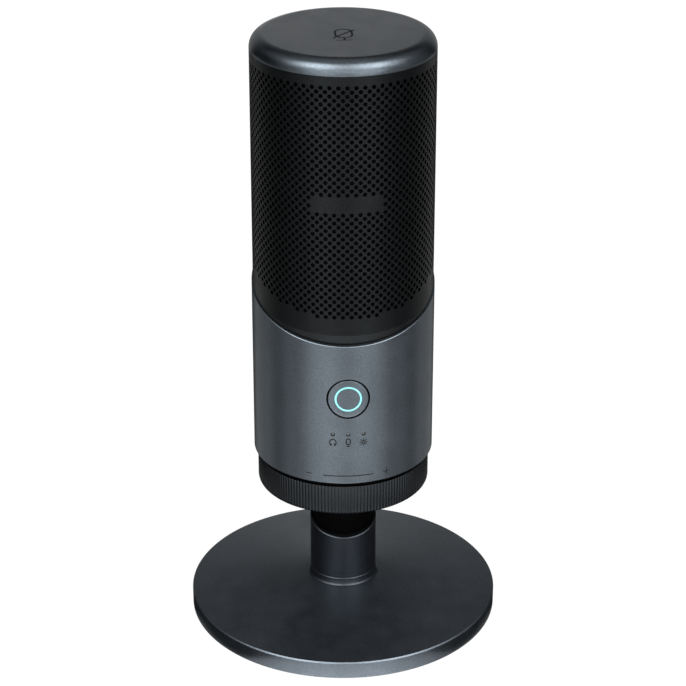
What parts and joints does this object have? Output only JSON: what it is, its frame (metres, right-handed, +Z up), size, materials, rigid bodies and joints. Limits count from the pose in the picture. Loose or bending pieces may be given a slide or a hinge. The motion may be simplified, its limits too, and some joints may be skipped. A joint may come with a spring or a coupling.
{
  "type": "desktop microphone",
  "caption": "Cylindrical desktop USB microphone with a perforated grille, lit front button and volume dial, tilting on a short post with a round weighted base.",
  "frame": {"origin": "axis of the stand, on the surface that the microphone stands on", "axes": "+Z up along the post, -Y towards the front with the button, +X to the right seen from the front"},
  "size_m": [0.1, 0.1, 0.1963],
  "materials": {
    "body_metal": "satin blue-grey anodised",
    "stand_metal": "satin gunmetal",
    "grille_metal": "satin black",
    "dial_metal": "knurled, dark satin",
    "black_plastic": "fine texture",
    "foot_rubber": "matt",
    "steel": "zinc plated",
    "washer_fibre": "matt",
    "brass": "machined",
    "magnet": "bonded ferrite",
    "circuit_board": "solder mask",
    "light_ring": "diffused, lit cyan",
    "clear_guide": "clear moulding",
    "socket_metal": "nickel plated",
    "mesh": "blackened wire mesh",
    "foam": "open-cell foam",
    "ribbon": "flexible film",
    "capsule_metal": "gold tone",
    "lead_jacket": "matt"
  },
  "bodies": {
    "stand": {"foot_pad": "foot_rubber", "base_plate": "stand_metal", "base_ballast": "steel", "base_screw": "steel", "base_washer": "steel", "post_collar": "stand_metal", "stand_post": "stand_metal", "hinge_bracket": "steel", "friction_washers": "washer_fibre"},
    "head": {"swivel_neck": "black_plastic", "hinge_pin": "steel", "neck_stud": "steel", "neck_washer": "foot_rubber", "bottom_cover": "black_plastic", "bottom_cover_screws": "steel", "lower_hub": "black_plastic", "thread_insert": "brass", "dial_sensor_board": "circuit_board", "body_shell": "body_metal", "chassis": "black_plastic", "chassis_screws": "steel", "main_board": "circuit_board", "main_board_screws": "steel", "tact_switch": "black_plastic", "button_guide": "black_plastic", "indicator_light_guide": "clear_guide", "io_board": "circuit_board", "usb_c_socket": "socket_metal", "headphone_jack": "black_plastic", "grille_carrier": "black_plastic", "carrier_screws": "steel", "grille_tube": "grille_metal", "mesh_liner": "mesh", "foam_sleeve": "foam", "top_cap": "body_metal", "touch_board": "circuit_board", "touch_ribbon": "ribbon", "capsule_tower": "black_plastic", "tower_screws": "steel", "capsule_shock_mount": "foot_rubber", "microphone_capsule": "capsule_metal", "capsule_board": "circuit_board", "capsule_lead": "lead_jacket"},
    "dial": {"dial_ring": "dial_metal", "dial_magnet_ring": "magnet"},
    "button": {"button_cap": "body_metal", "button_light_ring": "light_ring", "switch_plunger": "black_plastic"}
  },
  "joints": [
    {"name": "tilt", "type": "hinge", "parent": "stand", "child": "head", "pos_m": [0, 0, 0.0339], "axis": [1, 0, 0], "range_deg": [-25, 25]},
    {"name": "volume_dial", "type": "hinge", "parent": "head", "child": "dial", "pos_m": [0, 0, 0.05], "axis": [0, 0, 1], "continuous": true},
    {"name": "button_press", "type": "slide", "parent": "head", "child": "button", "axis": [0, 1, 0], "range_m": [0, 0.0005], "stiffness_N_per_m": 1500, "springref_m": -0.0003}
  ]
}
